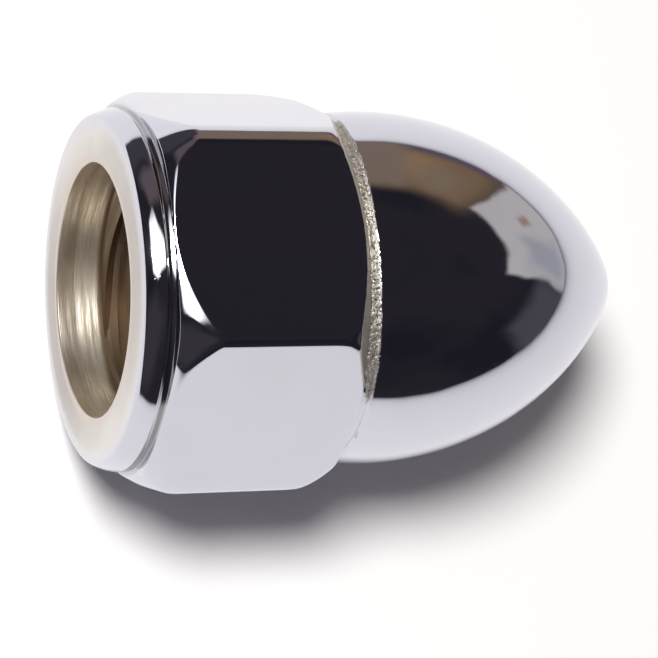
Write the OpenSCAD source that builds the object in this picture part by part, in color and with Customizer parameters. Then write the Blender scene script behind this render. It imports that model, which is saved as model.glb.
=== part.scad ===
// Cap nut with a bullet-shaped dome, lying on one of its hexagon's flats.
// The nut's axis is along X: the threaded mouth faces -X and the dome's nose +X.
// The origin is under the middle of the nut, on the plane that it lies on.

/* [Hexagon] */
// Width across the flats (9/16 in spanner)
across_flats = 14.3; // [12.6:0.1:24]
// Length of the hexagon, from the seat face to the edge of its shoulder
hex_length = 8.8; // [7.5:0.1:14]
// Radius along the six long edges
edge_round = 0.55; // [0.2:0.05:1.2]
// How far past the collar's turned line the hexagon's corners have rolled up to full size
rise_length = 1.65; // [1.4:0.05:2.4]
// Radius that rolls the corners over towards the dome
corner_roll = 3.75; // [2.5:0.05:6]
// How far before its end the hexagon's corners start to roll over
corner_roll_length = 2.1; // [1.2:0.05:2.4]

/* [Seat collar] */
// How much smaller than the flats the seat face is, each side
seat_inset = 0.37; // [0.1:0.05:0.8]
// How much smaller than the flats the collar's back edge is, each side
collar_inset = 0.05; // [0.03:0.01:0.3]
// Height of the collar
collar_height = 0.8; // [0.6:0.05:2]
// Width of the turned line between collar and hexagon
line_width = 0.35; // [0.1:0.05:0.5]
// Depth of that line
line_depth = 0.12; // [0.05:0.01:0.25]
// Size of the broken edge round the seat face
seat_break = 0.15; // [0.05:0.05:0.3]

/* [Dome] */
// Whole length of the nut, from seat face to nose
overall_length = 22; // [18:0.1:32]
// How much smaller than the flats the dome is, each side
dome_inset = 0.07; // [0.02:0.01:0.6]
// Distance from the end of the hexagon to the dome's widest ring
belly_offset = 2.2; // [0.8:0.1:3.5]
// Radius of the blunt nose
nose_radius = 2.66; // [1:0.02:4]

/* [Seam between hexagon and dome] */
// Width of the sunk ring left unpolished between them
ring_width = 0.36; // [0.2:0.02:0.8]
// Depth of the ring below the dome's edge
ring_depth = 0.14; // [0.05:0.01:0.4]
// Length of the steep shoulder from the hexagon down to the ring
shoulder_length = 0.26; // [0.1:0.02:0.5]

/* [Tapped hole] */
// Diameter of the hole before tapping (3/8-16 thread)
tap_drill_diameter = 7.94; // [5:0.01:9.9]
// Height of the thread, from its crests to its roots
thread_height = 0.8; // [0.4:0.05:1.2]
// Room left round the screw in the plain lead at the mouth
lead_clearance = 0.18; // [0.05:0.01:0.4]
// Depth of the plain lead
lead_depth = 1.75; // [0.6:0.05:3]
// Depth of the full-size hole, from the seat face
hole_depth = 13.5; // [8:0.1:16.5]
// Size of the broken edge round the mouth
mouth_break = 0.12; // [0.05:0.01:0.3]
// Included angle of the drill's point
drill_point_angle = 118; // [90:1:140]

/* [Quality] */
// Facets round each turned surface
facets = 180; // [60:12:360]

/* [Hidden] */

hex_sides = 6;
side_angle = 360 / hex_sides;
flat_radius = across_flats / 2;
corner_radius = flat_radius / cos(side_angle / 2);

// Stock that stands outside the hexagon's corners before the flats are cut
stock_radius = corner_radius + 0.5;
// How far a cutting shape runs past what it cuts
overrun = 1;
// The edges' circles are this much over size, so that they cross the flats and don't just touch
edge_growth = 1.01;
// How far the nose stands proud of the sphere that the dome's side would touch
nose_allowance = 0.005;
// Least length of the corners' roll at the mouth end, as a multiple of its height
least_rise_slant = 1.05;
// Least length of the dome past its widest ring, as a multiple of its radius
least_dome_slimness = 1.2;

seat_radius = flat_radius - seat_inset;
collar_radius = flat_radius - collar_inset;
line_end = collar_height + line_width;

// At the mouth end the corners roll up from the line on a circle that touches their own cylinder
rise_height = corner_radius - collar_radius;
rise_reach = max(rise_length, least_rise_slant * rise_height);
rise_radius = (pow(rise_reach, 2) + pow(rise_height, 2)) / (2 * rise_height);
rise_centre_radius = corner_radius - rise_radius;
rise_end = line_end + rise_reach;

// At the other end they roll over on a circle that touches it too
roll_start = hex_length - corner_roll_length;
roll_centre_radius = corner_radius - corner_roll;
roll_end_radius = roll_centre_radius + sqrt(pow(corner_roll, 2) - pow(corner_roll_length, 2));

// The dome's side is one arc that touches a sphere just inside the nose, so it crosses the nose cleanly.
// A short dome's widest ring draws back towards the hexagon, which leaves its side room to close in.
dome_radius = flat_radius - dome_inset;
belly = min(hex_length + belly_offset, overall_length - least_dome_slimness * dome_radius);
nose_centre = overall_length - nose_radius;
nose_run = nose_centre - belly;
touch_radius = nose_radius - nose_allowance;
side_radius = (pow(nose_run, 2) + pow(dome_radius, 2) - pow(touch_radius, 2))
    / (2 * (dome_radius - touch_radius));
side_centre_radius = dome_radius - side_radius;
join = nose_centre + touch_radius * nose_run / (side_radius - touch_radius);

// The ring is sunk below the edge where the dome's side starts
ring_start = hex_length + shoulder_length;
dome_start = ring_start + ring_width;
dome_edge_radius = side_centre_radius + sqrt(pow(side_radius, 2) - pow(belly - dome_start, 2));
ring_radius = dome_edge_radius - ring_depth;

hole_radius = tap_drill_diameter / 2;
lead_radius = hole_radius + thread_height + lead_clearance;
mouth_radius = lead_radius + mouth_break;
// The thread's first flank leads from the plain lead down to the drilled wall
thread_flank_angle = 30;
flank_length = (lead_radius - hole_radius) * tan(thread_flank_angle);
thread_start = lead_depth + flank_length;
point_length = hole_radius / tan(drill_point_angle / 2);

// Half-plane beside the axis between two stations, out to a radius
module band(low, high, radius) {
    translate([0, low])
        square([radius, high - low]);
}

// Outline of the collar and the turned line
module collar_profile() {
    polygon([
        [0, 0],
        [seat_radius - seat_break, 0],
        [seat_radius, seat_break],
        [collar_radius, collar_height],
        [collar_radius - line_depth, collar_height + line_width / 2],
        [collar_radius, line_end],
        [0, line_end]
    ]);
}

// Outline of the corners' roll at the mouth end, and of the stock from there to the other roll
module rise_profile() {
    band(line_end, rise_end, rise_centre_radius);
    intersection() {
        translate([rise_centre_radius, rise_end])
            circle(rise_radius, $fn = facets);
        band(line_end, rise_end, corner_radius + overrun);
    }
    band(rise_end, roll_start, stock_radius);
}

// Outline of the rolled corners and the steep shoulder behind them
module roll_profile() {
    band(roll_start, hex_length, roll_centre_radius);
    intersection() {
        translate([roll_centre_radius, roll_start])
            circle(corner_roll, $fn = facets);
        band(roll_start, hex_length, corner_radius + overrun);
    }
    polygon([
        [0, hex_length],
        [roll_end_radius, hex_length],
        [ring_radius, ring_start],
        [0, ring_start]
    ]);
}

// Outline of the sunk ring and the dome
module dome_profile() {
    band(ring_start, dome_start, ring_radius);
    intersection() {
        band(dome_start, overall_length + overrun, dome_radius + overrun);
        translate([side_centre_radius, belly])
            circle(side_radius, $fn = 2 * facets);
        union() {
            band(dome_start, join, dome_radius + overrun);
            translate([0, nose_centre])
                circle(nose_radius, $fn = facets);
        }
    }
}

// Hexagon with rounded corners: bands across the flats, and a circle in each corner
module rounded_hexagon() {
    edge_centre_height = flat_radius - edge_round;
    half_flat = edge_centre_height * tan(side_angle / 2);
    intersection() {
        rotate(side_angle / 2)
            circle(corner_radius, $fn = hex_sides);
        union() {
            for (side = [1 : hex_sides / 2])
                rotate(side * side_angle)
                    square([2 * stock_radius, 2 * half_flat], center = true);
            for (corner = [1 : hex_sides])
                rotate((corner + 1 / 2) * side_angle)
                    translate([edge_centre_height / cos(side_angle / 2), 0])
                        circle(edge_round * edge_growth, $fn = facets / 2);
        }
    }
}

// What is milled off the turned bar to leave the six flats
module flats_cut() {
    translate([0, 0, -overrun])
        linear_extrude(ring_start + 2 * overrun)
            difference() {
                circle(stock_radius + overrun, $fn = facets);
                rounded_hexagon();
            }
}

// Hexagon with its collar and rolled corners
module hexagon_section() {
    difference() {
        rotate_extrude($fn = facets) {
            collar_profile();
            rise_profile();
            roll_profile();
        }
        flats_cut();
    }
}

// Sunk ring and dome, turned on the end of the hexagon
module dome_section() {
    rotate_extrude($fn = facets)
        dome_profile();
}

// Tapped hole: broken edge, plain lead, first flank, drilled wall and point
module hole() {
    rotate_extrude($fn = facets)
        polygon([
            [0, -overrun],
            [mouth_radius, -overrun],
            [mouth_radius, 0],
            [lead_radius, mouth_break],
            [lead_radius, lead_depth],
            [hole_radius, thread_start],
            [hole_radius, hole_depth],
            [0, hole_depth + point_length]
        ]);
}

// The nut stood on its seat face, with its axis along Z
module upright_nut() {
    difference() {
        union() {
            hexagon_section();
            dome_section();
        }
        hole();
    }
}

module cap_nut() {
    color("silver")
        translate([-overall_length / 2, 0, flat_radius])
            rotate([0, 90, 0])
                upright_nut();
}

cap_nut();
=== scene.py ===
"""A chromed cap nut, lying on one flat of its hexagon on a sheet of white paper.

Lengths in the classes are millimetres, and MM turns them into the frame's metres.
The nut's axis runs along X, from its threaded mouth to its nose. A station is a
distance along it from the seat face, and an angle runs round it from the front
(-Y) towards the top (+Z).
"""

import logging
import math
from collections.abc import Callable
from dataclasses import dataclass, field

import bpy
import numpy as np
from mathutils import Matrix, Vector, noise

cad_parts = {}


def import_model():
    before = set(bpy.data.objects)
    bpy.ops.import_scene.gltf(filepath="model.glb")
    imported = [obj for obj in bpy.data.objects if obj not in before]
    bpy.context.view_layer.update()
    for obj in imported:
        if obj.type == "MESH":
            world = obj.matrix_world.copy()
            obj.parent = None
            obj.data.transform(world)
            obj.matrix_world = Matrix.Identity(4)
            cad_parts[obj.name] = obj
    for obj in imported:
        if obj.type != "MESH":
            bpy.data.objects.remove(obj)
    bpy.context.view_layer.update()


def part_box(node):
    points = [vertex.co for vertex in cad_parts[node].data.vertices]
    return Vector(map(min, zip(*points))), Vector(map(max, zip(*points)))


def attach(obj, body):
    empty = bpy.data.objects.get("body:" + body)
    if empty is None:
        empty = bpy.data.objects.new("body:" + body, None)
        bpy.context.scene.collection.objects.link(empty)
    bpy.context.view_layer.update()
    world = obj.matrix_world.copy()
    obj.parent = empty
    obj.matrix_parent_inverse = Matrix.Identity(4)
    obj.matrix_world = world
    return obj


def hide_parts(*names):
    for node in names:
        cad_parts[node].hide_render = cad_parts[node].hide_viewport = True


log = logging.getLogger("cap_nut")

MM = 0.001
NODE = "cap_nut"
# How far along the axis the camera and the light aim, from the nut's middle
AIM_ALONG = -0.275
# Points nearer to each other than this, in metres, become one
MERGE = 1e-7

Colour = tuple[float, float, float]
# Where something starts and where it is whole
Span = tuple[float, float]
Rows = list[tuple[np.ndarray, np.ndarray]]


# ---------------- modelling

class Bench:
    """The modelling moves that the pieces share."""

    @staticmethod
    def clear() -> None:
        """Leave edit mode and deselect every object."""
        if bpy.context.object and bpy.context.object.mode != "OBJECT":
            bpy.ops.object.mode_set(mode="OBJECT")
        bpy.ops.object.select_all(action="DESELECT")

    @staticmethod
    def start_line(name: str, at: Vector) -> bpy.types.Object:
        """Add a plane, merge it to one point and leave that point selected in edit mode.

        Args:
            name: The new piece's name.
            at: Where the point goes, in metres.

        Returns:
            The new object, in edit mode.
        """
        Bench.clear()
        bpy.ops.mesh.primitive_plane_add(size=MM, location=(0, 0, 0))
        piece = bpy.context.object
        piece.name = piece.data.name = name
        bpy.ops.object.mode_set(mode="EDIT")
        bpy.ops.mesh.select_all(action="SELECT")
        bpy.ops.mesh.merge(type="CENTER")
        bpy.ops.transform.translate(value=at)
        return piece

    @staticmethod
    def trace(points: list[Vector]) -> None:
        """Extrude the selected end point through a list of further points.

        Args:
            points: The line's points in order, beginning with the one that is there.
        """
        for here, there in zip(points, points[1:]):
            bpy.ops.mesh.extrude_region_move(TRANSFORM_OT_translate={"value": there - here})

    @staticmethod
    def turn(centre: Vector, steps: int) -> None:
        """Spin the whole edited line once round the nut's axis and close its seam and poles.

        Args:
            centre: A point on the axis, in metres.
            steps: How many steps make the full turn.
        """
        bpy.ops.mesh.select_all(action="SELECT")
        bpy.ops.mesh.spin(steps=steps, angle=math.tau, center=centre, axis=(1, 0, 0))
        bpy.ops.mesh.select_all(action="SELECT")
        bpy.ops.mesh.remove_doubles(threshold=MERGE)
        bpy.ops.mesh.normals_make_consistent(inside=False)
        bpy.ops.object.mode_set(mode="OBJECT")

    @staticmethod
    def points_of(piece: bpy.types.Object) -> np.ndarray:
        """The mesh's points in millimetres, one row each."""
        points = np.empty(len(piece.data.vertices) * 3)
        piece.data.vertices.foreach_get("co", points)
        return points.reshape(-1, 3) / MM

    @staticmethod
    def move_points(piece: bpy.types.Object, points: np.ndarray) -> None:
        """Put the mesh's points where an array of millimetres says."""
        piece.data.vertices.foreach_set("co", (points * MM).ravel())
        piece.data.update()


def soft_minimum(a: np.ndarray, b: np.ndarray, blend: np.ndarray) -> np.ndarray:
    """The lower of two radii, with the edge between them polished round.

    Args:
        a: The one surface's radius.
        b: The other surface's radius.
        blend: How near the two radii are where the rounding starts.

    Returns:
        The rounded radius.
    """
    overlap = np.maximum(blend - np.abs(a - b), 0) / blend
    return np.minimum(a, b) - overlap**2 * blend / 4


def smooth(value: np.ndarray, low: float, high: float) -> np.ndarray:
    """A step from 0 at low to 1 at high with eased ends."""
    share = np.clip((value - low) / (high - low), 0, 1)
    return share * share * (3 - 2 * share)


def rounded_line(corners: list[tuple[float, float, float]], steps: int) -> list[Span]:
    """A line through some corners with an arc at each.

    Args:
        corners: Each corner's station, radius and rounding. The ends' rounding isn't used.
        steps: How many steps each arc has.

    Returns:
        The line's points as station and radius.
    """
    line = [corners[0][:2]]
    for before, corner, after in zip(corners, corners[1:], corners[2:]):
        at = Vector(corner[:2])
        back, on = (Vector(before[:2]) - at), (Vector(after[:2]) - at)
        opening = back.angle(on)
        reach = corner[2] / math.tan(opening / 2)
        start, end = at + back.normalized() * reach, at + on.normalized() * reach
        middle = (back.normalized() + on.normalized()).normalized()
        centre = at + middle * (corner[2] / math.sin(opening / 2))
        sweep = math.pi - opening
        for step in range(steps + 1):
            share = step / steps
            arm = (start - centre) * math.sin((1 - share) * sweep)
            arm = arm + (end - centre) * math.sin(share * sweep)
            line.append(tuple(centre + arm / math.sin(sweep)))
    line.append(corners[-1][:2])
    return line


@dataclass(frozen=True)
class Rise:
    """How a part of the hexagon rises from the collar's line to its full size.

    The wall is the share of its height that is left to rise past the line, the curve the
    power with which it eases off, and the slant its length for its height.
    """

    wall: float
    curve: float
    slant: float


@dataclass
class NutBody:
    """The nut's one piece of metal: a turned bar, milled to a hexagon and drilled."""

    length: float
    across_flats: float

    sides: int = 6
    hex_length: float = 8.8
    edge_rounds: tuple[float, ...] = (0.6, 0.6, 1.25, 0.6, 0.6, 0.6)
    polish: float = 0.10
    shoulder_polish: float = 0.04
    corner_rise: Rise = Rise(0.74, 1.95, 1.43)
    eased_rise: Rise = Rise(0.62, 1.5, 1.5)
    eased_corners: tuple[int, ...] = (1, 2)
    broad_rise: Rise = Rise(0.52, 1.5, 1.5)
    broad_degrees: tuple[float, ...] = (6, 6, 13, 6, 6, 6)
    crisp_rise: Rise = Rise(0.50, 1.8, 1.15)
    crisp_spread: float = math.radians(10)
    rise_blend: float = math.radians(22)
    dub_depth: float = 0.035
    dub_length: float = 0.95
    dub_spread: float = math.radians(8)
    corner_roll: float = 3.75
    corner_roll_length: float = 2.1

    seat_inset: float = 0.37
    seat_round: float = 0.20
    collar_inset: float = 0.05
    collar_height: float = 0.8
    collar_swell: float = 0.024
    swell_round: float = 1.8
    collar_wear: float = 0.015
    collar_round: float = 0.08
    line_width: float = 0.35
    line_depth: float = 0.10
    line_foot: float = 0.11
    line_round: float = 0.20
    line_overrun: float = 0.10
    edge_set: float = 0.03

    dome_inset: float = 0.07
    belly_offset: float = 2.2
    nose_radius: float = 2.66

    ring_width: float = 0.36
    ring_depth: float = 0.14
    shoulder_length: float = 0.26
    worn_station: float = 8.70
    worn_slope: float = 1.5
    worn_full: float = math.radians(34)
    worn_none: float = math.radians(64)
    dome_spread: float = math.radians(38)
    dome_back: float = 0.20
    grain_height: float = 0.03
    grain_size: float = 0.22
    grain_edge: float = 0.05
    grain_dome_edge: float = 0.06
    grain_on_shoulder: float = 0.3
    grain_floor: float = 0.2
    fine_grain: float = 0.6
    fine_grain_scale: float = 2.3

    lead_radius: float = 4.95
    lead_depth: float = 1.75
    lead_bend: float = 0.74
    lead_end: float = 1.68
    lead_round: float = 1.0
    mouth_break: float = 0.05
    mouth_round: float = 0.03
    mouth_start: float = 0.50
    hole_end: float = 0.52
    root_radius: float = 4.856
    root_round: float = 0.1
    tapped_depth: float = 12.0
    tap_runout: float = 1.2
    hole_radius: float = 3.97
    hole_depth: float = 13.5
    hole_round: float = 0.15
    drill_point_angle: float = math.radians(118)
    wall_margin: float = 0.01
    solid_nose: float = 5.0

    columns_a_side: int = 72
    corner_columns: int = 14
    corner_zone: float = math.radians(2.2)
    line_shares: tuple[float, ...] = (0.2, 0.45, 0.7, 0.9, 1.0)
    row_counts: tuple[int, ...] = (30, 8, 18, 10, 6)
    row_eases: tuple[float, ...] = (0.8, 0.0, 0.8, 0.8, 0.5)
    rise_margin: float = 0.05
    roll_margin: float = 0.06
    shoulder_margin: float = 0.03
    ring_margin: float = 0.01
    ring_rows: int = 11
    dome_edge_steps: tuple[float, ...] = (0.02, 0.05, 0.1)
    dome_edge_end: float = 0.2
    side_rows: int = 30
    nose_rows: int = 14

    def __post_init__(self) -> None:
        """Work out what follows from the sizes."""
        self.side = math.tau / self.sides
        self._turn_bar()
        self.angles = self._angles()
        self.hexagon = self.hexagon_at(self.angles)
        self._wear_shoulder()
        self._roll_corners()

    def _turn_bar(self) -> None:
        """Work out the turned bar's radii, centres and stations."""
        self.flat_radius = self.axis_height = self.across_flats / 2
        self.collar_radius = self.flat_radius - self.collar_inset
        self.line_end = self.collar_height + self.line_width
        self.roll_start = self.hex_length - self.corner_roll_length
        self.roll_centre_radius = self.flat_radius / math.cos(self.side / 2) - self.corner_roll
        roll_drop = math.sqrt(self.corner_roll**2 - self.corner_roll_length**2)
        self.roll_end_radius = self.roll_centre_radius + roll_drop
        self.belly = self.hex_length + self.belly_offset
        self.nose_centre = self.length - self.nose_radius
        dome_radius = self.flat_radius - self.dome_inset
        run = self.nose_centre - self.belly
        span = dome_radius - self.nose_radius
        self.side_radius = (run**2 + dome_radius**2 - self.nose_radius**2) / (2 * span)
        self.side_centre_radius = dome_radius - self.side_radius
        nose_share = self.nose_radius * run / (self.side_radius - self.nose_radius)
        self.join = self.nose_centre + nose_share
        self.dome_start = self.hex_length + self.shoulder_length + self.ring_width
        self.ring_radius = float(self.dome_at(np.array(self.dome_start))) - self.ring_depth

    def _wear_shoulder(self) -> None:
        """Work out each column's shoulder and dome edge, which are worn back round the top."""
        off_top = (self.angles - math.pi / 2 + math.pi) % math.tau - math.pi
        self.dome_lean = self.dome_back * np.exp(-(off_top / self.dome_spread) ** 2)
        self.worn = 1 - smooth(np.abs(off_top), self.worn_full, self.worn_none)
        steep = (self.roll_end_radius - self.ring_radius) / self.shoulder_length
        self.shoulder_fall = steep + (self.worn_slope - steep) * self.worn
        fresh = self.roll_end_radius + steep * self.hex_length
        old = self.flat_radius + self.worn_slope * self.worn_station
        self.shoulder_height = fresh + (old - fresh) * self.worn

    def _roll_corners(self) -> None:
        """Work out how each column rises from the collar's line: the kinds of rise, blended."""
        half = self.side / 2
        off_corner, corner = self._off_corner(self.angles), self._corner(self.angles)
        before = (self.angles + half) % self.side < half
        both = smooth(off_corner, self.rise_blend, half) / 2
        broad = smooth(off_corner, 0, np.radians(self.broad_degrees)[corner])
        broad = broad * np.where(before, both, 1 - both)
        crisp = smooth(off_corner, 0, self.crisp_spread) * np.where(before, 1 - both, both)
        eased = np.isin(corner, self.eased_corners) * (1 - broad - crisp)
        kinds = (self.corner_rise, self.eased_rise, self.broad_rise, self.crisp_rise)
        shares = (1 - broad - crisp - eased, eased, broad, crisp)
        self.rise_share, self.rise_curve, slant = (
            sum(getattr(kind, name) * share for kind, share in zip(kinds, shares))
            for name in ("wall", "curve", "slant"))
        self.rise_height = self.hexagon - self.collar_radius
        self.rise_length = slant * self.rise_height
        self.dub = self.dub_depth * np.exp(-((half - off_corner) / self.dub_spread) ** 2)

    def _angles(self) -> np.ndarray:
        """The columns' angles, closer together over each corner of the hexagon."""
        share = np.arange(self.columns_a_side) / self.columns_a_side
        edge = self.corner_columns / 2 / self.columns_a_side
        zone, side = self.corner_zone, self.side
        warped = np.interp(share, [0, edge, 1 - edge, 1], [0, zone, side - zone, side])
        return np.concatenate([warped + side * k for k in range(self.sides)])

    def _corner(self, angles: np.ndarray) -> np.ndarray:
        """The number of the corner nearest to each angle."""
        return np.rint(angles / self.side).astype(int) % self.sides

    def _off_corner(self, angles: np.ndarray) -> np.ndarray:
        """How far each angle is from its nearest corner."""
        return np.abs((angles + self.side / 2) % self.side - self.side / 2)

    def hexagon_at(self, angles: np.ndarray) -> np.ndarray:
        """The rounded hexagon's radius at some angles."""
        half = self.side / 2
        off_corner = self._off_corner(angles)
        edge_round = np.array(self.edge_rounds)[self._corner(angles)]
        flat = self.flat_radius / np.cos(half - off_corner)
        centre = (self.flat_radius - edge_round) / math.cos(half)
        inside = np.maximum(edge_round**2 - (centre * np.sin(off_corner)) ** 2, 0)
        arc = centre * np.cos(off_corner) + np.sqrt(inside)
        touch = np.arctan2(edge_round * math.sin(half), centre + edge_round * math.cos(half))
        return np.where(off_corner < touch, arc, flat)

    def dome_at(self, station: np.ndarray) -> np.ndarray:
        """The dome's radius at some stations: one side arc, then the nose's sphere."""
        inside = np.maximum(self.side_radius**2 - (station - self.belly) ** 2, 0)
        side = self.side_centre_radius + np.sqrt(inside)
        nose = np.sqrt(np.maximum(self.nose_radius**2 - (station - self.nose_centre) ** 2, 0))
        return np.where(station < self.join, side, nose)

    def turned_at(self, station: np.ndarray) -> np.ndarray:
        """The turned bar's radius over the roll and the shoulder, in every column."""
        into_roll = np.clip(station - self.roll_start, 0, self.corner_roll_length)
        roll = self.roll_centre_radius + np.sqrt(self.corner_roll**2 - into_roll**2)
        shoulder = self.shoulder_height - station * self.shoulder_fall
        return soft_minimum(roll, shoulder, self.shoulder_polish)

    def milled_at(self, station: np.ndarray) -> np.ndarray:
        """The outer radius from the collar's line to the ring, in every column."""
        risen_from = station - self.line_end
        left = np.clip(1 - risen_from / self.rise_length, 0, 1)
        dub_left = np.clip(1 - risen_from / self.dub_length, 0, 1)
        risen = self.hexagon - self.rise_height * self.rise_share * left**self.rise_curve
        risen = risen - self.dub * dub_left**2
        return soft_minimum(self.turned_at(station), risen, self.polish)

    def past_shoulder(self, station: "np.ndarray | Wire", radius: "np.ndarray | Wire"
                      ) -> "np.ndarray | Wire":
        """How far past the worn shoulder's edge some places are, along the axis."""
        past = station + radius / self.worn_slope - self.worn_station
        return past - self.flat_radius / self.worn_slope

    def _hole_line(self) -> list[tuple[float, float]]:
        """Station and radius from the drill's point out to the plain lead."""
        point = self.hole_radius / math.tan(self.drill_point_angle / 2)
        return rounded_line([
            (self.hole_depth + point, 0, 0),
            (self.hole_depth, self.hole_radius, self.hole_round),
            (self.tapped_depth + self.tap_runout, self.hole_radius, self.root_round),
            (self.tapped_depth, self.root_radius, self.root_round),
            (self.lead_end, self.root_radius, self.lead_round),
            (self.lead_bend, self.lead_radius, self.lead_round),
            (self.hole_end, self.lead_radius, 0),
        ], steps=6)

    def _mouth_line(self) -> list[tuple[float, float]]:
        """Station and radius from inside the mouth, over the seat and collar, into the line."""
        seat, collar = self.flat_radius - self.seat_inset, self.collar_radius - self.collar_wear
        return rounded_line([
            (self.mouth_start, self.lead_radius, 0),
            (self.mouth_break, self.lead_radius, self.mouth_round),
            (0, self.lead_radius + self.mouth_break, self.mouth_round),
            (0, seat, self.seat_round),
            (self.collar_height / 2, (seat + collar) / 2 + 2 * self.collar_swell,
             self.swell_round),
            (self.collar_height - self.edge_set, collar, self.collar_round),
            (self.collar_height + self.line_foot, self.collar_radius - self.line_depth,
             self.line_round),
            (self.line_end - self.edge_set, self.collar_radius - self.edge_set, self.edge_set),
            (self.line_end, self.collar_radius + self.line_overrun, 0),
        ], steps=7)

    def rows(self) -> Rows:
        """Every row's stations and radii, one value a column, from drill point to nose.

        Returns:
            One pair of arrays a row.
        """
        every = np.ones_like(self.angles)
        rows = [(s * every, r * every) for s, r in self._hole_line() + self._mouth_line()[:-1]]
        foot_station, foot_radius = rows[-1][0][0], rows[-1][1][0]
        top = self.hexagon - self.rise_height * self.rise_share - self.dub
        for share in self.line_shares:
            rows.append(((foot_station + (self.line_end - foot_station) * share) * every,
                         foot_radius + (top - foot_radius) * share))
        shoulder_foot = (self.shoulder_height - self.ring_radius) / self.shoulder_fall
        rows += self._milled_rows(shoulder_foot)
        dome_edge = self.dome_start - self.dome_lean
        for share in np.linspace(0, 1, self.ring_rows):
            station = shoulder_foot + (dome_edge - shoulder_foot) * share
            rows.append((station, self.ring_radius * every))
        return rows + self._dome_rows(dome_edge)

    def _milled_rows(self, shoulder_foot: np.ndarray) -> Rows:
        """The rows of the hexagon's side, closer together where it bends.

        Args:
            shoulder_foot: The station where the shoulder meets the sunk ring in every column.

        Returns:
            The rows.
        """
        reach = np.sqrt(self.corner_roll**2 - (self.hexagon - self.roll_centre_radius) ** 2)
        on_shoulder = (self.shoulder_height - self.hexagon) / self.shoulder_fall
        roll_edge = np.minimum(self.roll_start + reach, on_shoulder)
        low, high = roll_edge + self.roll_margin, shoulder_foot - self.shoulder_margin
        anchors = [
            self.line_end,
            self.line_end + self.rise_length,
            self.line_end + np.maximum(self.rise_length, self.dub_length) + self.rise_margin,
            roll_edge,
            np.clip(self._roll_foot(), low, high),
            shoulder_foot - self.ring_margin,
        ]
        rows = []
        for low, high, count, ease in zip(anchors, anchors[1:], self.row_counts, self.row_eases):
            for share in (np.arange(count) + 0.5) / count:
                eased = share - math.sin(math.tau * share) / math.tau * ease
                station = low + (high - low) * eased
                rows.append((station, self.milled_at(station)))
        return rows

    def _roll_foot(self) -> np.ndarray:
        """The station where each column's shoulder leaves the corners' roll."""
        fall = self.shoulder_fall
        above = self.shoulder_height - fall * self.roll_start - self.roll_centre_radius
        inside = (above * fall) ** 2 - (fall**2 + 1) * (above**2 - self.corner_roll**2)
        return self.roll_start + (above * fall - np.sqrt(np.maximum(inside, 0))) / (fall**2 + 1)

    def _dome_rows(self, dome_edge: np.ndarray) -> Rows:
        """The rows of the dome's side and nose, ending on the axis.

        Args:
            dome_edge: The station of the dome's edge in every column.

        Returns:
            The rows.
        """
        every = np.ones_like(dome_edge)
        near = [dome_edge + step for step in self.dome_edge_steps]
        rows = [(station, self.dome_at(station)) for station in near]
        start = math.asin((self.dome_start + self.dome_edge_end - self.belly) / self.side_radius)
        end = math.asin((self.join - self.belly) / self.side_radius)
        for turn in np.linspace(start, end, self.side_rows):
            rows.append(((self.belly + self.side_radius * math.sin(turn)) * every,
                         (self.side_centre_radius + self.side_radius * math.cos(turn)) * every))
        for turn in np.linspace(end, math.pi / 2, self.nose_rows)[1:]:
            rows.append(((self.nose_centre + self.nose_radius * math.sin(turn)) * every,
                         self.nose_radius * math.cos(turn) * every))
        return rows

    def place(self, station: float, angle: float, radius: float) -> Vector:
        """The point at a station, angle and radius, in metres in the frame."""
        return MM * Vector((station - self.length / 2,
                            -radius * math.cos(angle),
                            self.axis_height + radius * math.sin(angle)))

    def polar(self, points: np.ndarray) -> tuple[np.ndarray, np.ndarray, np.ndarray]:
        """The stations, angles and radii of some points."""
        across, up = -points[:, 1], points[:, 2] - self.axis_height
        return points[:, 0] + self.length / 2, np.arctan2(up, across), np.hypot(across, up)

    def cartesian(self, station: np.ndarray, angle: np.ndarray, radius: np.ndarray) -> np.ndarray:
        """The points at some stations, angles and radii."""
        return np.stack([station - self.length / 2,
                         -radius * np.cos(angle),
                         self.axis_height + radius * np.sin(angle)], axis=1)

    def build(self) -> bpy.types.Object:
        """Turn the blank, mill it and leave its seam unpolished.

        Returns:
            The nut's mesh object.
        """
        rows = self.rows()
        stations = np.array([s for s, _ in rows])
        radii = np.array([r for _, r in rows])
        line = [self.place(s[0], 0, r[0]) for s, r in rows]
        piece = Bench.start_line("nut_body", line[0])
        Bench.trace(line)
        Bench.turn(self.place(0, 0, 0), len(self.angles))
        self._mill(piece, stations, radii)
        self._grain(piece)
        bpy.ops.object.shade_smooth()
        log.info("%s: %d faces", piece.name, len(piece.data.polygons))
        return piece

    def _mill(self, piece: bpy.types.Object, stations: np.ndarray, radii: np.ndarray) -> None:
        """Move each point of the turned blank to its place on the milled nut."""
        station, angle, radius = self.polar(Bench.points_of(piece))
        count = len(self.angles)
        column = np.rint(angle / math.tau * count).astype(int) % count
        row = np.empty(len(station), int)
        chunk = 4096
        for first in range(0, len(station), chunk):
            part = slice(first, first + chunk)
            off = np.abs(station[part, None] - stations[None, :, 0])
            off = off + np.abs(radius[part, None] - radii[None, :, 0])
            row[part] = off.argmin(axis=1)
        milled = self.cartesian(stations[row, column], self.angles[column], radii[row, column])
        Bench.move_points(piece, milled)

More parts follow.
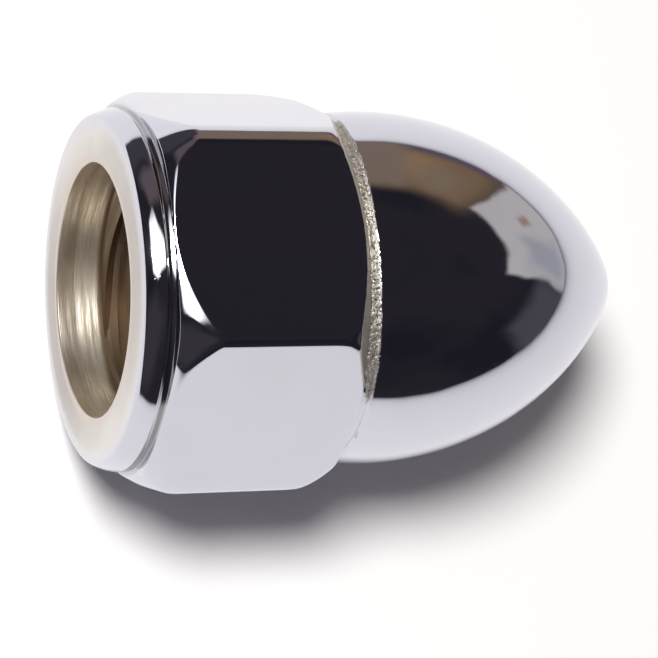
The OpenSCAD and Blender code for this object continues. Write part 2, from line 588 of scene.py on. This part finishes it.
    def _grain(self, piece: bpy.types.Object) -> None:
        """Roughen the sunk ring and the shoulder above it."""
        points = Bench.points_of(piece)
        station, angle, radius = self.polar(points)
        worn, lean = (np.interp(angle % math.tau, self.angles, values, period=math.tau)
                      for values in (self.worn, self.dome_lean))
        past_edge = station - (self.dome_start - lean)
        floor = smooth(station - self.worn_station, self.grain_edge, self.grain_floor)
        reach = smooth(self.past_shoulder(station, radius), -self.grain_edge, self.grain_edge)
        reach = reach * (1 - smooth(past_edge, 0, self.grain_dome_edge)) * worn
        reach = reach * (self.grain_on_shoulder + (1 - self.grain_on_shoulder) * floor)
        reach = reach * (radius > self.lead_radius + 1)
        limit = self.hexagon_at(angle)
        for k in np.flatnonzero(reach > 0):
            at = Vector(points[k]) / self.grain_size
            fine = self.fine_grain * noise.noise(at * self.fine_grain_scale)
            radius[k] += reach[k] * self.grain_height * (noise.noise(at) + fine)
        radius = np.where(reach > 0, np.minimum(radius, limit), radius)
        Bench.move_points(piece, self.cartesian(station, angle, radius))

    def wall_faces(self, piece: bpy.types.Object) -> list[int]:
        """The faces of the hole, inside the mouth's broken edge."""
        widest = self.lead_radius + self.wall_margin
        last = self.length / 2 - self.solid_nose
        inside = []
        for face in piece.data.polygons:
            along, across, up = face.center / MM
            if math.hypot(across, up - self.axis_height) < widest and along < last:
                inside.append(face.index)
        return inside


@dataclass
class Thread:
    """The screw thread standing on the hole's wall, as one wound ridge."""

    body: NutBody

    pitch: float = 25.4 / 16
    flank: float = math.radians(30)
    crest_width: float = 0.40
    crest_round: float = 0.3
    crest_radius: float = 3.97
    sunk_radius: float = 4.93
    fade_margin: float = 0.08
    start: float = 1.2
    turns: int = 7
    steps: int = 96
    crease: float = math.radians(40)

    def build(self) -> bpy.types.Object:
        """Wind the ridge's section round the axis and fade its first turn into the lead.

        Returns:
            The thread's mesh object.
        """
        half_crest = self.crest_width / 2
        half_base = half_crest + (self.sunk_radius - self.crest_radius) * math.tan(self.flank)
        corners = rounded_line([
            (-half_base, self.sunk_radius, 0),
            (-half_crest, self.crest_radius, self.crest_round),
            (half_crest, self.crest_radius, self.crest_round),
            (half_base, self.sunk_radius, 0),
        ], steps=4)
        line = [MM * Vector((x, -r, 0)) for x, r in corners]
        piece = Bench.start_line("thread", line[0])
        Bench.trace(line)
        bpy.ops.mesh.select_all(action="SELECT")
        bpy.ops.mesh.edge_face_add()
        bpy.ops.object.mode_set(mode="OBJECT")
        screw = piece.modifiers.new("wind", "SCREW")
        screw.axis = "X"
        screw.angle = math.tau
        screw.iterations = self.turns
        screw.screw_offset = self.pitch * MM
        screw.steps = screw.render_steps = self.steps
        screw.use_merge_vertices = True
        screw.merge_threshold = MERGE
        bpy.ops.object.modifier_apply(modifier=screw.name)
        bpy.ops.object.mode_set(mode="EDIT")
        bpy.ops.mesh.select_all(action="DESELECT")
        bpy.ops.mesh.select_non_manifold()
        bpy.ops.mesh.fill_holes(sides=0)
        bpy.ops.mesh.select_all(action="SELECT")
        bpy.ops.mesh.normals_make_consistent(inside=False)
        bpy.ops.transform.translate(value=self.body.place(self.start, 0, 0))
        bpy.ops.object.mode_set(mode="OBJECT")
        self._fade(piece)
        bpy.ops.object.shade_smooth_by_angle(angle=self.crease)
        log.info("%s: %d faces", piece.name, len(piece.data.polygons))
        return piece

    def _fade(self, piece: bpy.types.Object) -> None:
        """Cut the first turn back to the cone that leads into the hole."""
        points = Bench.points_of(piece)
        station, angle, radius = self.body.polar(points)
        widest = self.body.lead_radius + self.fade_margin
        cone = widest - (station - self.body.lead_depth) / math.tan(self.flank)
        radius = np.maximum(radius, np.minimum(cone, widest))
        Bench.move_points(piece, self.body.cartesian(station, angle, radius))


# ---------------- shader maths

Value = "float | Wire"


def operator(operation: str, swapped: bool = False) -> Callable[["Wire", Value], "Wire"]:
    """A method that puts a Math node on a wire and a value, swapped if the wire is second."""
    def method(self: "Wire", other: Value) -> "Wire":
        """The node's output."""
        return self.maths(operation, *((other, self) if swapped else (self, other)))
    return method


class Wire:
    """A node's output, on which Python's operators add Math nodes."""

    def __init__(self, board: "Board", socket: bpy.types.NodeSocket) -> None:
        """Hold the output and the board that it is on."""
        self.board = board
        self.socket = socket

    def maths(self, operation: str, *values: Value) -> "Wire":
        """A Math node's output for some values."""
        return self.board.node("ShaderNodeMath", {"operation": operation}, dict(enumerate(values)))

    __add__, __radd__ = operator("ADD"), operator("ADD", swapped=True)
    __sub__, __rsub__ = operator("SUBTRACT"), operator("SUBTRACT", swapped=True)
    __mul__, __truediv__ = operator("MULTIPLY"), operator("DIVIDE")
    __pow__, __rpow__ = operator("POWER"), operator("POWER", swapped=True)
    # The angle of the point (other, self) from other's axis
    bearing = operator("ARCTAN2")
    highest = operator("MAXIMUM")

    def __abs__(self) -> "Wire":
        """The value without its sign."""
        return self.maths("ABSOLUTE", self)

    def asin(self) -> "Wire":
        """The angle whose sine this is."""
        return self.maths("ARCSINE", self)

    def step(self, low: float, high: float) -> "Wire":
        """Eased from 0 at low to 1 at high, also where high is the lower number."""
        rising = float(low < high)
        ends = {"From Min": min(low, high), "From Max": max(low, high),
                "To Min": 1 - rising, "To Max": rising}
        return self.board.node("ShaderNodeMapRange", {"interpolation_type": "SMOOTHSTEP"},
                               {"Value": self, **ends}, "Result")

    def between(self, low: float, high: float, soft: float) -> "Wire":
        """1 from low to high, with ends that are soft on both sides of them."""
        return self.step(low - soft, low + soft) * self.step(high + soft, high - soft)


class Board:
    """A node tree, and the one way in which nodes are added to it."""

    def __init__(self, tree: bpy.types.NodeTree) -> None:
        """Empty the tree."""
        self.tree = tree
        tree.nodes.clear()

    def node(self, kind: str, settings: dict, inputs: dict, output: int | str = 0) -> Wire:
        """Add a node.

        Args:
            kind: The node's type.
            settings: Its own settings, set before its sockets.
            inputs: A value or a wire for each of its sockets, by name or number.
            output: Which of its outputs is wanted.

        Returns:
            That output.
        """
        node = self.tree.nodes.new(kind)
        for name, value in settings.items():
            setattr(node, name, value)
        for name, value in inputs.items():
            if isinstance(value, Wire):
                self.tree.links.new(value.socket, node.inputs[name])
            else:
                node.inputs[name].default_value = value
        return Wire(self, node.outputs[output] if node.outputs else None)

    def mix(self, factor: Value, first: "Colour | Wire", second: "Colour | Wire") -> Wire:
        """A colour between two, as a factor says."""
        ends = {6: first, 7: second}
        ends = {k: end if isinstance(end, Wire) else (*end, 1) for k, end in ends.items()}
        return self.node("ShaderNodeMix", {"data_type": "RGBA"}, {0: factor, **ends}, 2)

    def vector(self, operation: str, first: Wire, second: tuple[float, float, float]) -> Wire:
        """A Vector Math node's output."""
        return self.node("ShaderNodeVectorMath", {"operation": operation}, {0: first, 1: second})

    def parts(self, vector: Wire) -> tuple[Wire, Wire, Wire]:
        """A vector's X, Y and Z."""
        first = self.node("ShaderNodeSeparateXYZ", {}, {0: vector})
        return tuple(Wire(self, socket) for socket in first.socket.node.outputs)

    def noise(self, vector: Wire, scale: float, detail: float, roughness: float = 0.5) -> Wire:
        """A noise pattern from 0 to 1."""
        return self.node("ShaderNodeTexNoise", {}, {
            "Vector": vector, "Scale": scale, "Detail": detail, "Roughness": roughness})

    def bump(self, height: Wire, distance: float, strength: float = 1.0) -> Wire:
        """A normal that a height in millimetres tilts."""
        return self.node("ShaderNodeBump", {}, {
            "Height": height, "Distance": distance * MM, "Strength": strength})

    def metal(self, colour: Wire, metallic: float, rough: Wire, normal: Wire) -> None:
        """End the tree in a metal's surface."""
        shader = self.node("ShaderNodeBsdfPrincipled", {}, {
            "Base Color": colour, "Metallic": metallic, "Roughness": rough, "Normal": normal})
        self.node("ShaderNodeOutputMaterial", {}, {"Surface": shader})


class NutSpace:
    """A point's place on the nut in millimetres, as the finishes read it."""

    def __init__(self, board: Board, nut: NutBody) -> None:
        """Read the place from the seat's middle, its parts, and how far it is from the axis."""
        at = board.node("ShaderNodeTexCoord", {}, {}, "Object")
        at = board.vector("MULTIPLY", at, (1 / MM, 1 / MM, 1 / MM))
        self.at = board.vector("SUBTRACT", at, (-nut.length / 2, 0, nut.axis_height))
        self.station, self.across, self.up = board.parts(self.at)
        self.radius = (self.across * self.across + self.up * self.up) ** 0.5


def new_material(name: str) -> tuple[bpy.types.Material, Board]:
    """A material with an empty board."""
    material = bpy.data.materials.new(name)
    material.use_nodes = True
    return material, Board(material.node_tree)


@dataclass(frozen=True)
class ChromePlate:
    """Bright chrome: unplated in the seam ring, with painted glints and painted shade in its pits;
    rubbed at the seat, whose colour carries painted light and shade; dull in the line, which is
    darkened with painted shade.

    A grain is how many spots of a noise a millimetre has.
    """

    tint: Colour = (0.63, 0.64, 0.715)
    hazy: Colour = (0.61, 0.605, 0.65)
    haze_grain: float = 0.35
    haze_span: Span = (0.45, 0.75)
    gloss: float = 0.045
    wave_grain: float = 0.55
    wave_height: float = 0.010
    speck_grain: float = 11.0
    speck_span: Span = (0.72, 0.80)
    speck_top: Span = (0.74, 0.84)
    speck_height: float = 0.0008

    seam: Colour = (0.56, 0.525, 0.47)
    # Painted shade in the seam's pits, and a painted highlight for its glints
    seam_pit_shade: Colour = (0.10, 0.085, 0.075)
    seam_painted_glint: Colour = (0.92, 0.90, 0.86)
    seam_rough: float = 0.42
    seam_low: Span = (-0.07, -0.01)
    seam_high: float = 9.44
    seam_soft: float = 0.025
    seam_rim: Span = (6.0, 6.3)
    seam_wear: Span = (0.10, 0.35)
    unworn_back: float = 0.45
    rag: float = 0.10
    rag_grain: float = 2.6
    floor_span: Span = (0.06, 0.26)
    glint_grain: float = 5.5
    glint_span: Span = (0.60, 0.68)
    glint_height: float = 0.10
    pit_grain: float = 9.0
    pit_span: Span = (0.56, 0.66)
    pit_depth: float = 0.03

    # Painted light on the seat: the first colour is its shaded end, the second its lit end
    seat: Colour = (0.45, 0.415, 0.385)
    seat_painted_lit: Colour = (0.72, 0.695, 0.66)
    seat_grain: float = 0.6
    seat_front: Span = (0.16, 0.03)
    seat_rim: Span = (6.85, 6.0)
    lip: Colour = (0.66, 0.58, 0.53)
    lip_rim: Span = (5.35, 5.05)
    # Painted shade in the line's groove
    line: Colour = (0.20, 0.19, 0.20)
    line_span: Span = (0.90, 1.12)
    line_soft: float = 0.07
    line_rim: Span = (7.3, 7.2)
    side_reach: float = 6.0

    def make(self, nut: NutBody) -> bpy.types.Material:
        """Make the material."""
        material, board = new_material("chrome_plate")
        space = NutSpace(board, nut)
        haze = board.noise(space.at, self.haze_grain, 3).step(*self.haze_span)
        colour = board.mix(haze * 0.5, self.tint, self.hazy)
        seam, metal, glint, relief = self._seam(board, space, nut)
        colour = board.mix(seam, colour, metal)
        # How far out to the sides a place is, which the painted light on the seat and the painted
        # shade in the line follow
        beside = space.across * space.across / self.side_reach**2
        seat, rubbed_and_lit, ground_and_lit = self._seat(board, space, nut, beside)
        colour = board.mix(rubbed_and_lit, colour, ground_and_lit)
        # The line: its colour darkened with painted shade, stronger further out to the sides, and
        # a little rougher
        line = space.station.between(*self.line_span, self.line_soft)
        line = line * space.radius.step(*self.line_rim) * (0.35 + beside * 0.45)
        colour = board.mix(line, colour, self.line)
        spots = board.noise(space.at, self.speck_grain, 1)
        specks = spots.step(*self.speck_span)
        rough = self.gloss + haze * 0.015 + specks * 0.05 + rubbed_and_lit * 0.28 + seat * 0.06
        rough = (rough + line * 0.1) * (1 - seam) + seam * (self.seam_rough - glint * 0.2)
        wave = board.noise(space.at, self.wave_grain, 1) * self.wave_height
        wave = wave + spots.step(*self.speck_top) * self.speck_height
        board.metal(colour, 1.0, rough, board.bump(wave * (1 - seam) + relief, 1.0))
        return material

    def _seam(self, board: Board, space: NutSpace, nut: NutBody) -> tuple[Wire, Wire, Wire, Wire]:
        """The mask of the unplated seam ring, its colour with painted glints and painted shade in
        its pits, its glints and its relief.
        """
        station, radius = space.station, space.radius
        ragged = board.noise(space.at, self.rag_grain, 3) - 0.5
        off_top = abs((space.across * -1).bearing(space.up))
        worn = off_top.step(nut.worn_none, nut.worn_full)
        lean = math.e ** (off_top * off_top * (-1 / nut.dome_spread**2)) * nut.dome_back
        past = nut.past_shoulder(station, radius) + ragged * self.rag
        past = past - (1 - worn) * self.unworn_back
        high = station + lean + ragged * self.rag
        seam = past.step(*self.seam_low)
        seam = seam * high.step(self.seam_high + self.seam_soft, self.seam_high - self.seam_soft)
        seam = seam * radius.step(*self.seam_rim) * worn.step(*self.seam_wear)
        low, full = self.floor_span
        floor = (station + ragged * self.rag).step(nut.worn_station + low, nut.worn_station + full)
        grain = board.noise(space.at, self.glint_grain, 4, 0.65)
        # Pits are dents in the relief, darkened with painted shade; glints are raised and
        # smoother, and lightened as a painted highlight
        pits = board.noise(space.at, self.pit_grain, 2, 0.6).step(*self.pit_span)
        pits = pits * (0.15 + floor * 0.85)
        glint = grain.step(*self.glint_span) * (0.2 + floor * 0.8)
        metal = board.mix(glint, board.mix(pits, self.seam, self.seam_pit_shade), self.seam_painted_glint)
        relief = seam * (grain * self.glint_height - pits * self.pit_depth) * (0.25 + floor * 0.75)
        return seam, metal, glint, relief

    def _seat(self, board: Board, space: NutSpace, nut: NutBody, beside: Wire
              ) -> tuple[Wire, Wire, Wire]:
        """The masks of the seat and of its rubbed part, and the rubbed part's colour, which
        carries painted light and shade.
        """
        radius = space.radius
        seat = space.station.step(*self.seat_front)
        seat = seat * radius.step(nut.lead_radius - 0.1, nut.lead_radius)
        rubbed_and_lit = seat * radius.step(*self.seat_rim)
        cloud = board.noise(space.at, self.seat_grain, 3)
        # Painted light and shade: the seat is lighter further out to the sides and higher up, with
        # a random cloud of tone
        painted_lit = beside + space.up * 0.03 + cloud * 0.5 - 0.25
        ground_and_lit = board.mix(painted_lit, self.seat, self.seat_painted_lit)
        return seat, rubbed_and_lit, board.mix(radius.step(*self.lip_rim) * 0.8, ground_and_lit, self.lip)


@dataclass(frozen=True)
class BareSteel:
    """The hole's unplated steel, dull, with the tool's rings round it; painted shade darkens it
    deeper in, and a band of the lead and the thread's crests are lightened as painted highlights.
    """

    light: Colour = (0.70, 0.64, 0.56)
    stained: Colour = (0.50, 0.43, 0.34)
    # Painted highlight: the lighter colour of a band of the lead
    rubbed_and_lit: Colour = (0.84, 0.79, 0.68)
    # Painted shade deeper in the hole
    dark: Colour = (0.20, 0.14, 0.09)
    # Painted highlight on the thread's crests
    crest: Colour = (0.86, 0.76, 0.60)
    ringed: Colour = (0.45, 0.40, 0.31)
    metallic: float = 0.93
    rough: float = 0.30
    ring_grain: tuple[float, float, float] = (3.2, 0.22, 0.22)
    ring_depth: float = 0.03
    stain_grain: tuple[float, float, float] = (1.3, 0.4, 0.4)
    rubbed_and_lit_span: Span = (0.72, 1.28)
    deep_span: Span = (1.5, 1.8)
    crest_span: Span = (4.25, 4.05)

    def make(self, nut: NutBody) -> bpy.types.Material:
        """Make the material."""
        material, board = new_material("bare_steel")
        space = NutSpace(board, nut)
        rings = board.noise(board.vector("MULTIPLY", space.at, self.ring_grain), 1.0, 4, 0.6)
        stain = board.noise(board.vector("MULTIPLY", space.at, self.stain_grain), 1.0, 3)
        # Painted shade deeper in the hole, past the plain lead, which is also rougher there
        deep = space.station.step(*self.deep_span)
        # The thread's crests deep in the hole, lightened as a painted highlight and smoother
        crest = space.radius.step(*self.crest_span) * deep
        # A band of the lead, lightened as a painted highlight and a little smoother
        rubbed_and_lit = space.station.between(*self.rubbed_and_lit_span, 0.2)
        colour = board.mix(stain.step(0.35, 0.65), self.light, self.stained)
        colour = board.mix(rubbed_and_lit * 0.4, colour, self.rubbed_and_lit)
        colour = board.mix(deep, colour, self.dark)
        colour = board.mix(crest * 0.9, colour, self.crest)
        colour = board.mix(rings.step(0.5, 0.75) * 0.5, colour, self.ringed)
        rough = self.rough + rings * 0.14 + deep * 0.08 - rubbed_and_lit * 0.03 - crest * 0.10
        board.metal(colour, self.metallic, rough, board.bump(rings, self.ring_depth, 0.8))
        return material


# ---------------- studio

@dataclass(frozen=True)
class Card:
    """Something in the room that the chrome shows: its bearings, heights and colour.

    A bearing is in degrees from +Y, clockwise as seen from above, and so the mouth looks
    towards -90. A height is in degrees above the paper.
    """

    start: float
    end: float
    low: float
    high: float
    colour: Colour
    soft: float = 2.0
    ragged: float = 3.0


@dataclass
class Room:
    """The room round the sheet of paper: dark, with one big soft light overhead."""

    dark: Colour = (0.026, 0.023, 0.028)
    darker: Colour = (0.016, 0.015, 0.022)
    cards: list[Card] = field(default_factory=lambda: [
        Card(8, 50, -5, 36, (0.235, 0.155, 0.09), soft=7, ragged=12),
        Card(6, 48, -5, 4, (0.13, 0.095, 0.12), soft=3, ragged=3),
        Card(22, 34, 8, 26, (0.34, 0.21, 0.10), soft=5, ragged=14),
        Card(-2, 25, -5, 36, (0.250, 0.183, 0.138), soft=4, ragged=8),
        Card(28, 40, 14, 32, (0.26, 0.19, 0.13), soft=5, ragged=16),
        Card(51, 92, -5, 31, (0.60, 0.56, 0.53), soft=1.5, ragged=9),
        Card(72, 88, 0, 22, (0.42, 0.42, 0.44), soft=4, ragged=14),
        Card(62, 66, 10, 15, (0.40, 0.27, 0.23), soft=1.5, ragged=8),
        Card(92, 120, -5, 17, (0.085, 0.08, 0.095), soft=4, ragged=10),
        Card(-34, 6, -5, 19, (0.060, 0.054, 0.066), soft=5, ragged=8),
        Card(-30, 6, 25, 50, (0.135, 0.105, 0.115), soft=6, ragged=8),
        Card(-162, -118, 5, 60, (0.052, 0.046, 0.054), soft=10, ragged=14),
    ])
    glow: Colour = (2.0, 1.98, 1.95)
    glow_tilt: float = -0.415
    glow_lean: float = 0.14
    outline: tuple[tuple[float, float], ...] = (
        (-0.08, 0.03), (-0.32, 0.65), (-0.39, 0.76), (-0.64, 0.56), (-0.64, -0.08), (-0.40, -0.17))
    outline_soft: float = 0.03
    horizon: float = 0.05
    glow_low: Span = (0.2, 0.3)
    glow_fade: Span = (0.40, 0.76)
    faded: float = 0.85
    lamp_colour: Colour = (1.0, 0.985, 0.96)
    lamp_distance: float = 0.6
    lamp_size: float = 0.215
    lamp_power: float = 4.3

    def build(self) -> None:
        """Make the world."""
        world = bpy.data.worlds.new("room")
        bpy.context.scene.world = world
        world.use_nodes = True
        board = Board(world.node_tree)
        direction = board.node("ShaderNodeTexCoord", {}, {}, "Generated")
        x, y, z = board.parts(direction)
        degrees = 180 / math.pi
        height = z.asin() * degrees
        bearing = x.bearing(y) * degrees
        cloud = board.noise(direction, 2.4, 3) - 0.5
        depth = board.noise(direction, 1.7, 2).step(0.4, 0.7)
        colour = board.mix(depth, self.dark, self.darker)
        for card in self.cards:
            inside = (bearing + cloud * card.ragged).between(card.start, card.end, card.soft)
            rise = (height + cloud * card.ragged).between(card.low, card.high, card.soft)
            colour = board.mix(inside * rise, colour, card.colour)
        colour = board.mix(self._glow(x, y, z), colour, self.glow)
        seen = board.node("ShaderNodeLightPath", {}, {}, "Is Camera Ray")
        room = board.node("ShaderNodeBackground", {}, {"Color": colour, "Strength": 1.0})
        white = board.node("ShaderNodeBackground", {}, {"Color": (1, 1, 1, 1), "Strength": 1.0})
        mixed = board.node("ShaderNodeMixShader", {}, {0: seen, 1: room, 2: white})
        board.node("ShaderNodeOutputWorld", {}, {"Surface": mixed})

    def _glow(self, x: Wire, y: Wire, z: Wire) -> Wire:
        """The mask of the light overhead, by its outline on a ceiling, fading far off."""
        ceiling = z.highest(self.horizon)
        x, y = x / ceiling, y / ceiling
        glow = z.step(*self.glow_low)
        for (ax, ay), (bx, by) in zip(self.outline, self.outline[1:] + self.outline[:1]):
            length = math.hypot(bx - ax, by - ay)
            inward = (x - ax) * ((ay - by) / length) + (y - ay) * ((bx - ax) / length)
            glow = glow * inward.step(-self.outline_soft, self.outline_soft)
        return glow * (1 - y.step(*self.glow_fade) * self.faded)

    def lamp(self, centre: Vector) -> None:
        """Hang the soft light.

        Args:
            centre: The nut's middle, in metres.
        """
        data = bpy.data.lights.new("soft_light", "AREA")
        data.shape = "DISK"
        data.size = self.lamp_size
        data.energy = self.lamp_power
        data.color = self.lamp_colour
        lamp = bpy.data.objects.new("soft_light", data)
        bpy.context.collection.objects.link(lamp)
        way = Vector((self.glow_tilt, self.glow_lean, 1)).normalized()
        lamp.location = centre + way * self.lamp_distance
        lamp.rotation_euler = way.to_track_quat("Z", "Y").to_euler()


@dataclass
class Paper:
    """The sheet of white paper that the nut lies on."""

    size: float = 4.0
    white: Colour = (0.80, 0.80, 0.80)
    lift: Colour = (0.03, 0.025, 0.035)

    def build(self) -> None:
        """Lay the sheet."""
        Bench.clear()
        bpy.ops.mesh.primitive_plane_add(size=self.size, location=(0, 0, 0))
        sheet = bpy.context.object
        sheet.name = "paper"
        material, board = new_material("white_paper")
        diffuse = board.node("ShaderNodeBsdfDiffuse", {}, {"Color": (*self.white, 1)})
        glow = board.node("ShaderNodeEmission", {}, {"Color": (*self.lift, 1), "Strength": 1.0})
        both = board.node("ShaderNodeAddShader", {}, {0: diffuse, 1: glow})
        board.node("ShaderNodeOutputMaterial", {}, {"Surface": both})
        sheet.data.materials.append(material)


@dataclass
class Camera:
    """The camera, looking steeply down on the nut from its mouth end."""

    aim: Vector
    azimuth: float = math.radians(54.76)
    elevation: float = math.radians(62.97)
    roll: float = math.radians(51.09)
    distance: float = 114.4
    lens: float = 156.07
    sensor: float = 36
    nearest: float = 0.001
    offset_right: float = 0.80
    offset_up: float = 1.644

    def build(self) -> None:
        """Set the camera up."""
        az, el = self.azimuth, self.elevation
        forward = Vector((math.sin(az) * math.cos(el), math.cos(az) * math.cos(el), -math.sin(el)))
        level = Vector((math.cos(az), -math.sin(az), 0))
        rise = level.cross(forward)
        right = math.cos(self.roll) * level + math.sin(self.roll) * rise
        up = -math.sin(self.roll) * level + math.cos(self.roll) * rise
        place = self.aim - forward * self.distance
        target = self.aim - right * self.offset_right - up * self.offset_up
        forward = (target - place).normalized()
        right = forward.cross(up).normalized()
        up = right.cross(forward)
        data = bpy.data.cameras.new("camera")
        data.lens = self.lens
        data.sensor_width = self.sensor
        data.clip_start = self.nearest
        camera = bpy.data.objects.new("camera", data)
        bpy.context.collection.objects.link(camera)
        turn = Matrix((right, up, -forward)).transposed().to_4x4()
        turn.translation = place * MM
        camera.matrix_world = turn
        bpy.context.scene.camera = camera


def main() -> None:
    """Build the nut, its finishes, the room and the camera."""
    logging.basicConfig(level=logging.INFO, format="%(name)s: %(message)s")
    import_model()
    low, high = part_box(NODE)
    nut = NutBody(length=(high.x - low.x) / MM, across_flats=(high.z - low.z) / MM)
    body = nut.build()
    thread = Thread(nut).build()
    for piece, slot in ((body, "chrome_plate"), (thread, "bare_steel")):
        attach(piece, "root")
    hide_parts(NODE)
    steel = BareSteel().make(nut)
    body.data.materials.append(ChromePlate().make(nut))
    body.data.materials.append(steel)
    thread.data.materials.append(steel)
    for index in nut.wall_faces(body):
        body.data.polygons[index].material_index = 1

    middle = Vector((AIM_ALONG, 0, nut.axis_height))
    Camera(aim=middle).build()
    room = Room()
    room.build()
    room.lamp(middle * MM)
    Paper().build()
    bpy.context.scene.view_settings.view_transform = "Standard"


if __name__ == "__main__":
    main()
